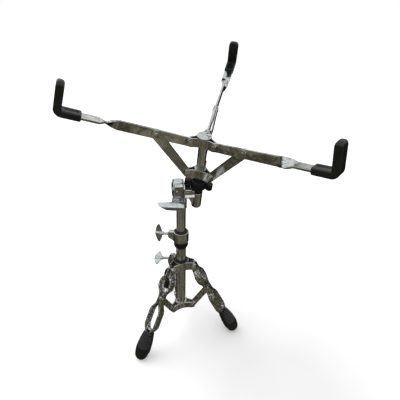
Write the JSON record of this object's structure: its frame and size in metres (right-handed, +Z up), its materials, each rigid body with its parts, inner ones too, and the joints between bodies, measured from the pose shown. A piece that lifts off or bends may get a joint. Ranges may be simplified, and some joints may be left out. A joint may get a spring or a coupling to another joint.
{
  "type": "snare drum stand",
  "caption": "Folding double-braced tripod stand with a telescoping post, a tilter and a three-arm adjustable basket that holds a snare drum.",
  "frame": {"origin": "where the post's axis meets the floor", "axes": "+Z up along the post; the player stands on the -Y side, towards which the basket tilts"},
  "size_m": [0.385, 0.376, 0.6336],
  "materials": {
    "chromed_tube": "polished chrome plate on drawn tube",
    "chromed_strip": "chrome plate on pressed steel strip, slightly wavy",
    "chromed_casting": "chrome plate on zinc castings",
    "rivet_steel": "plated rivets and bolts",
    "plain_steel": "turned steel brake drum",
    "rubber": "moulded black rubber, faint sheen",
    "black_plastic": "moulded black nylon"
  },
  "bodies": {
    "base": {"base_tube": "chromed_tube", "brace_bracket": "chromed_strip", "bracket_rivets": "rivet_steel", "height_clamp": "chromed_casting", "clamp_bushing": "black_plastic", "badge_collar": "black_plastic"},
    "height_screw": {"height_screw": "chromed_casting"},
    "leg_collar": {"leg_collar": "chromed_strip", "collar_bushing": "black_plastic", "collar_rivets": "rivet_steel"},
    "collar_screw": {"collar_screw": "chromed_casting"},
    "leg_1": {"leg_1_strip_a": "chromed_strip", "leg_1_strip_b": "chromed_strip", "leg_1_rivets": "rivet_steel", "leg_1_foot": "rubber"},
    "leg_2": {"leg_2_strip_a": "chromed_strip", "leg_2_strip_b": "chromed_strip", "leg_2_rivets": "rivet_steel", "leg_2_foot": "rubber"},
    "leg_3": {"leg_3_strip_a": "chromed_strip", "leg_3_strip_b": "chromed_strip", "leg_3_rivets": "rivet_steel", "leg_3_foot": "rubber"},
    "brace_1": {"brace_1": "chromed_strip"},
    "brace_2": {"brace_2": "chromed_strip"},
    "brace_3": {"brace_3": "chromed_strip"},
    "riser": {"height_tube": "chromed_tube"},
    "tilter": {"tilter_housing": "chromed_casting", "tilter_cover": "chromed_casting", "tilter_bolt": "rivet_steel"},
    "tilter_handle": {"tilter_handle": "chromed_casting"},
    "basket_stem": {"tilter_head": "chromed_casting", "brake_drum": "plain_steel", "basket_tube": "chromed_tube", "top_bracket": "chromed_strip", "top_cap": "chromed_strip", "top_rivets": "rivet_steel"},
    "spider": {"lower_spider": "chromed_strip", "spider_rivets": "rivet_steel"},
    "hand_nut": {"basket_nut": "black_plastic"},
    "arm_1": {"arm_1": "chromed_strip", "arm_1_rubber": "rubber"},
    "arm_2": {"arm_2": "chromed_strip", "arm_2_rubber": "rubber"},
    "arm_3": {"arm_3": "chromed_strip", "arm_3_rubber": "rubber"},
    "strut_1": {"strut_1": "chromed_strip", "strut_1_rivet": "rivet_steel"},
    "strut_2": {"strut_2": "chromed_strip", "strut_2_rivet": "rivet_steel"},
    "strut_3": {"strut_3": "chromed_strip", "strut_3_rivet": "rivet_steel"}
  },
  "joints": [
    {"name": "height_screw_turn", "type": "hinge", "parent": "base", "child": "height_screw", "pos_m": [-0.03742, 0.0066, 0.2585], "axis": [-0.9848, 0.1736, 0], "range_deg": [-450, 0]},
    {"name": "leg_fold", "type": "slide", "parent": "base", "child": "leg_collar", "axis": [0, 0, 1], "range_m": [-0.0036, 0.01807]},
    {"name": "collar_screw_turn", "type": "hinge", "parent": "leg_collar", "child": "collar_screw", "pos_m": [-0.03978, 0.00418, 0.19509], "axis": [-0.9945, 0.1045, 0], "range_deg": [-450, 0]},
    {"name": "leg_1_pivot", "type": "hinge", "parent": "leg_collar", "child": "leg_1", "pos_m": [-0.0194, -0.02155, 0.18209], "axis": [0.7431, -0.6691, 0], "range_deg": [-6, 25]},
    {"name": "leg_2_pivot", "type": "hinge", "parent": "leg_collar", "child": "leg_2", "pos_m": [0.02837, -0.00603, 0.18209], "axis": [0.2079, 0.9781, 0], "range_deg": [-6, 25]},
    {"name": "leg_3_pivot", "type": "hinge", "parent": "leg_collar", "child": "leg_3", "pos_m": [-0.00896, 0.02758, 0.18209], "axis": [-0.9511, -0.309, 0], "range_deg": [-6, 25]},
    {"name": "brace_1_pivot", "type": "hinge", "parent": "base", "child": "brace_1", "pos_m": [-0.0194, -0.02155, 0.06491], "axis": [0.7431, -0.6691, 0], "range_deg": [-25, 6]},
    {"name": "brace_2_pivot", "type": "hinge", "parent": "base", "child": "brace_2", "pos_m": [0.02837, -0.00603, 0.06491], "axis": [0.2079, 0.9781, 0], "range_deg": [-25, 6]},
    {"name": "brace_3_pivot", "type": "hinge", "parent": "base", "child": "brace_3", "pos_m": [-0.00896, 0.02758, 0.06491], "axis": [-0.9511, -0.309, 0], "range_deg": [-25, 6]},
    {"name": "height_slide", "type": "slide", "parent": "base", "child": "riser", "axis": [0, 0, 1], "range_m": [-0.035, 0.07]},
    {"name": "basket_swivel", "type": "hinge", "parent": "riser", "child": "tilter", "pos_m": [0, 0, 0.33], "axis": [0, 0, 1], "continuous": true},
    {"name": "tilter_handle_turn", "type": "hinge", "parent": "tilter", "child": "tilter_handle", "pos_m": [-0.00903, -0.01875, 0.3446], "axis": [0.165, -0.9863, 0], "range_deg": [-60, 0]},
    {"name": "basket_tilt", "type": "hinge", "parent": "tilter", "child": "basket_stem", "pos_m": [0, 0, 0.3666], "axis": [0.9863, 0.165, 0], "range_deg": [-30, 20]},
    {"name": "spider_slide", "type": "slide", "parent": "basket_stem", "child": "spider", "axis": [0.051, -0.3048, 0.9511], "range_m": [-0.0001, 0.0122]},
    {"name": "hand_nut_turn", "type": "hinge", "parent": "spider", "child": "hand_nut", "pos_m": [0.03434, 0.00261, 0.37611], "axis": [0.051, -0.3048, 0.9511], "range_deg": [0, 1728]},
    {"name": "arm_1_pivot", "type": "hinge", "parent": "basket_stem", "child": "arm_1", "pos_m": [0.01442, -0.03366, 0.47028], "axis": [-0.2254, 0.9242, 0.3083], "range_deg": [-0.5, 18]},
    {"name": "arm_2_pivot", "type": "hinge", "parent": "basket_stem", "child": "arm_2", "pos_m": [0.05694, -0.04536, 0.46425], "axis": [-0.7299, -0.6614, -0.1728], "range_deg": [-0.5, 18]},
    {"name": "arm_3_pivot", "type": "hinge", "parent": "basket_stem", "child": "arm_3", "pos_m": [0.04691, -0.00422, 0.47797], "axis": [0.9553, -0.2629, -0.1355], "range_deg": [-0.5, 18]},
    {"name": "strut_1_pivot", "type": "hinge", "parent": "spider", "child": "strut_1", "pos_m": [0.01097, -0.01308, 0.40608], "axis": [0.2254, -0.9242, -0.3083], "range_deg": [-5.5, 0.5]},
    {"name": "strut_2_pivot", "type": "hinge", "parent": "spider", "child": "strut_2", "pos_m": [0.0535, -0.02478, 0.40005], "axis": [0.7299, 0.6614, 0.1728], "range_deg": [-5.5, 0.5]},
    {"name": "strut_3_pivot", "type": "hinge", "parent": "spider", "child": "strut_3", "pos_m": [0.04346, 0.01636, 0.41378], "axis": [-0.9553, 0.2629, 0.1355], "range_deg": [-5.5, 0.5]}
  ],
  "couplings": [
    {"joint": "leg_1_pivot", "follows": "leg_fold", "rad_per_m": 23.664},
    {"joint": "leg_2_pivot", "follows": "leg_fold", "rad_per_m": 23.664},
    {"joint": "leg_3_pivot", "follows": "leg_fold", "rad_per_m": 23.664},
    {"joint": "brace_1_pivot", "follows": "leg_fold", "rad_per_m": -23.664},
    {"joint": "brace_2_pivot", "follows": "leg_fold", "rad_per_m": -23.664},
    {"joint": "brace_3_pivot", "follows": "leg_fold", "rad_per_m": -23.664},
    {"joint": "spider_slide", "follows": "hand_nut_turn", "m_per_rad": 0.00039789},
    {"joint": "arm_1_pivot", "follows": "hand_nut_turn", "ratio": 0.010232},
    {"joint": "arm_2_pivot", "follows": "hand_nut_turn", "ratio": 0.010232},
    {"joint": "arm_3_pivot", "follows": "hand_nut_turn", "ratio": 0.010232},
    {"joint": "strut_1_pivot", "follows": "hand_nut_turn", "ratio": -0.0030605},
    {"joint": "strut_2_pivot", "follows": "hand_nut_turn", "ratio": -0.0030605},
    {"joint": "strut_3_pivot", "follows": "hand_nut_turn", "ratio": -0.0030605}
  ]
}
